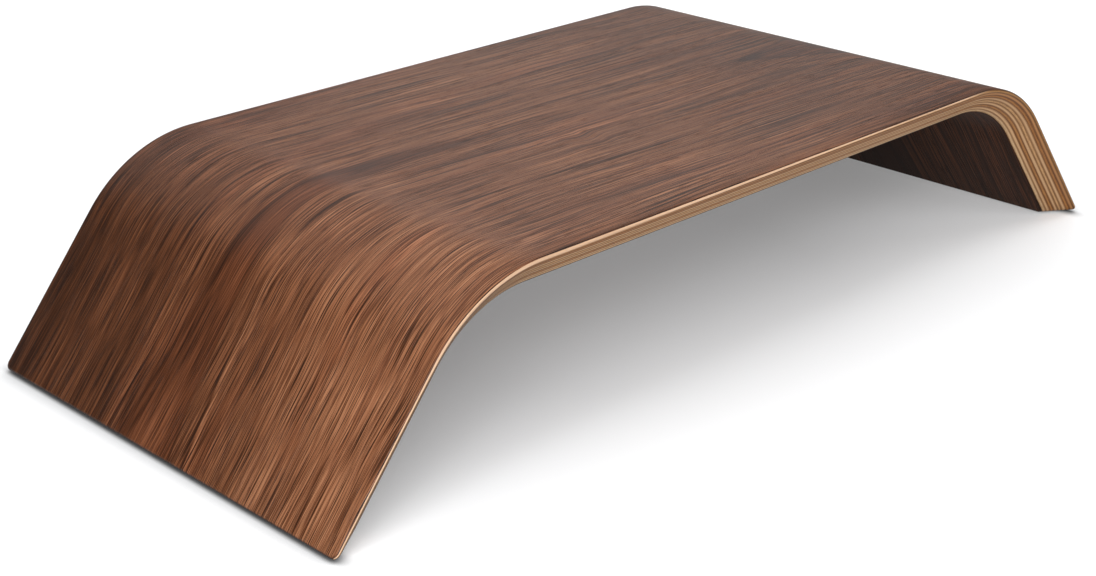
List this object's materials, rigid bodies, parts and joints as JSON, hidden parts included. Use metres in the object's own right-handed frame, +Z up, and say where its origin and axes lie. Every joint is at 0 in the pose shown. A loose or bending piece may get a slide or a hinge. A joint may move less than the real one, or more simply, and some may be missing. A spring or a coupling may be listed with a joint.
{
  "type": "monitor riser stand",
  "caption": "Desk riser of bent plywood faced with walnut: a flat deck that curves into splayed legs, open underneath for a keyboard.",
  "frame": {"origin": "on the desk, under the middle of the deck", "axes": "+X along the deck towards the right foot seen from the front, +Y from front to back, +Z up"},
  "size_m": [0.52, 0.236, 0.092],
  "materials": {
    "walnut_veneer": "walnut face veneer, clear satin lacquer, grain along the sheet and over the bends",
    "cross_grain_ply": "sanded and lacquered ply edge, end grain showing at the long edges",
    "long_grain_ply": "sanded and lacquered ply edge, side grain showing at the long edges",
    "foot_pad": "matte black non-slip pad"
  },
  "bodies": {
    "root": {"walnut_face_outer": "walnut_veneer", "core_ply_1": "cross_grain_ply", "core_ply_2": "long_grain_ply", "core_ply_3": "cross_grain_ply", "core_ply_4": "long_grain_ply", "core_ply_5": "cross_grain_ply", "core_ply_6": "long_grain_ply", "core_ply_7": "cross_grain_ply", "core_ply_8": "long_grain_ply", "core_ply_9": "cross_grain_ply", "walnut_face_inner": "walnut_veneer", "foot_pad_left_front": "foot_pad", "foot_pad_left_rear": "foot_pad", "foot_pad_right_front": "foot_pad", "foot_pad_right_rear": "foot_pad"}
  },
  "joints": []
}
